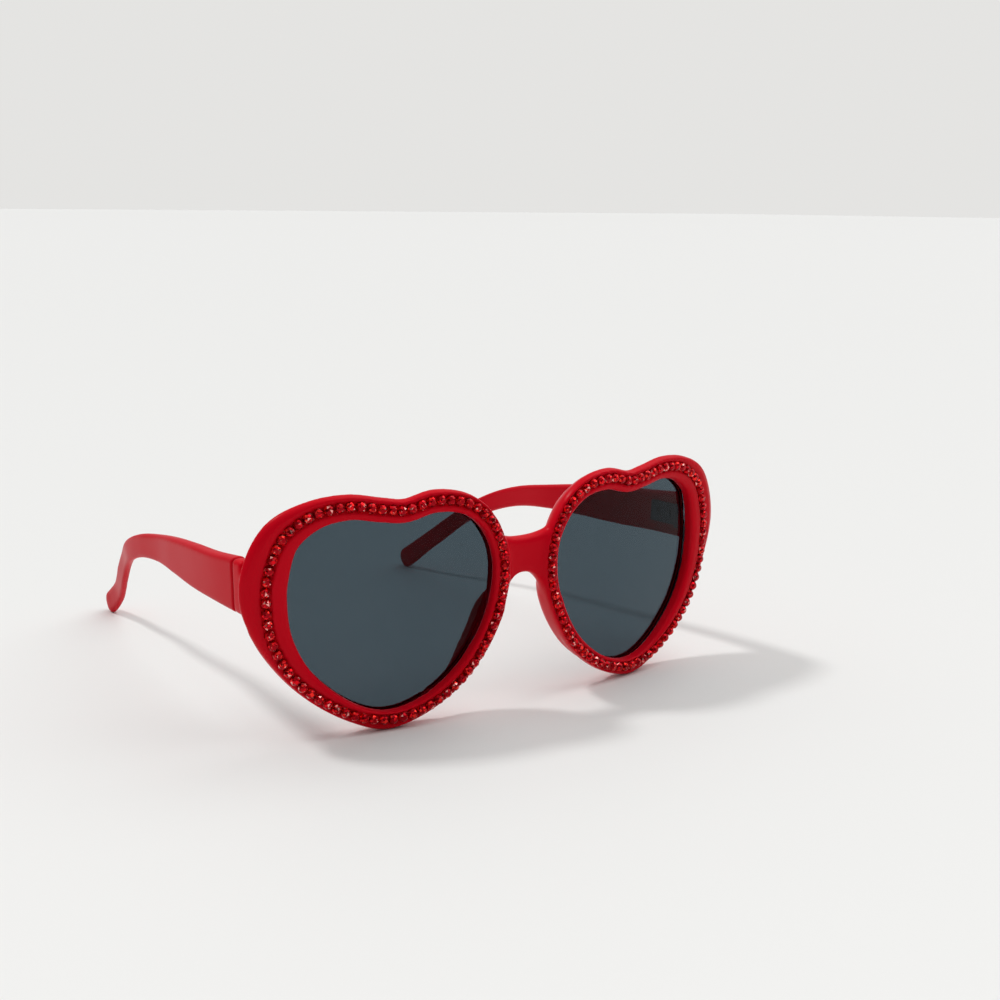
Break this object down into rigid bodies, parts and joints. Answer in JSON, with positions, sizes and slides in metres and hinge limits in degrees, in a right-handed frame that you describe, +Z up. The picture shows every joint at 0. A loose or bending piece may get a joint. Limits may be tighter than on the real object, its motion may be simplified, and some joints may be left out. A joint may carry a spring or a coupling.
{
  "type": "sunglasses",
  "caption": "Heart shaped sunglasses: one wrapped plastic front with faceted stones round dark lenses, and two folding temples with curved ear ends.",
  "frame": {"origin": "on the table, under the middle of the object's box, with the temples open", "axes": "+Z up from the table, -Y the way the lenses look, +X towards the wearer's left"},
  "size_m": [0.145, 0.1395, 0.058],
  "materials": {
    "front_plastic": "gloss",
    "temple_plastic": "gloss",
    "lens_tint": "gloss",
    "stone_glass": "gloss",
    "hinge_metal": "satin"
  },
  "bodies": {
    "front": {"front_frame": "front_plastic", "lens_left": "lens_tint", "lens_right": "lens_tint", "stones_left": "stone_glass", "stones_right": "stone_glass", "front_hinge_leaf_left": "hinge_metal", "front_hinge_leaf_right": "hinge_metal", "hinge_screw_left": "hinge_metal", "hinge_screw_right": "hinge_metal"},
    "left_temple": {"temple_left": "temple_plastic", "temple_hinge_leaf_left": "hinge_metal"},
    "right_temple": {"temple_right": "temple_plastic", "temple_hinge_leaf_right": "hinge_metal"}
  },
  "joints": [
    {"name": "left_fold", "type": "hinge", "parent": "front", "child": "left_temple", "pos_m": [0.06577, -0.05124, 0.0375], "axis": [0, 0, 1], "range_deg": [-4.6, 80]},
    {"name": "right_fold", "type": "hinge", "parent": "front", "child": "right_temple", "pos_m": [-0.06577, -0.05124, 0.0375], "axis": [0, 0, -1], "range_deg": [0, 76]}
  ]
}
